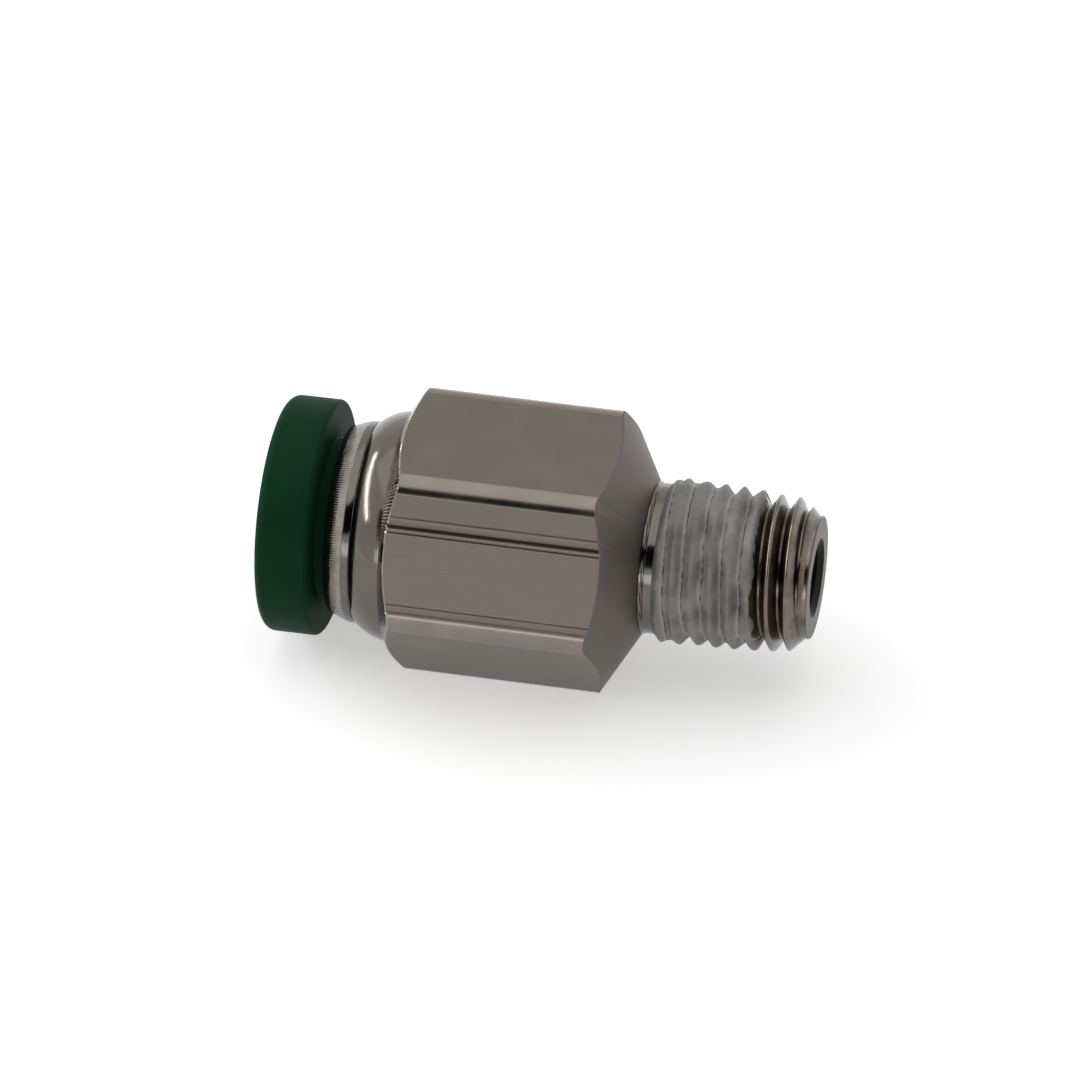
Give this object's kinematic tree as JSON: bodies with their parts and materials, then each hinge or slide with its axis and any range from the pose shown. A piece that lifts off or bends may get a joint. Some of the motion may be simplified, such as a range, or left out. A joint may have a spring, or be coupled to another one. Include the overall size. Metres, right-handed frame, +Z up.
{
  "type": "push-in tube fitting",
  "caption": "Push-in tube fitting with a green release button, a hexagonal nickel-plated body and a tapered male pipe stud with dried thread sealant.",
  "frame": {"origin": "On the ground below the middle of the fitting's length. The fitting lies on one flat of its hexagon, so its axis is half a flat width up.", "axes": "+X along the axis from the tube port to the pipe stud, +Z up, square to the flat that it lies on."},
  "size_m": [0.027, 0.0144, 0.0127],
  "materials": {
    "nickel_plated_brass": "bright nickel plate over turned brass",
    "green_acetal": "moulded, satin",
    "stainless_spring": "bright stainless steel",
    "black_nitrile": "smooth rubber",
    "bare_brass": "turned brass",
    "dried_sealant": "dried coat, matte"
  },
  "bodies": {
    "fitting": {"body": "nickel_plated_brass", "retaining_collar": "nickel_plated_brass", "tube_seal": "black_nitrile", "seal_spacer": "bare_brass", "thread_sealant": "dried_sealant"},
    "collet": {"collet": "stainless_spring"},
    "button": {"release_button": "green_acetal"}
  },
  "joints": [
    {"name": "button_push", "type": "slide", "parent": "fitting", "child": "collet", "axis": [1, 0, 0], "range_m": [-0.0007, 0.00046]},
    {"name": "button_swivel", "type": "hinge", "parent": "collet", "child": "button", "pos_m": [-0.01354, 0, 0.00635], "axis": [1, 0, 0], "continuous": true}
  ]
}
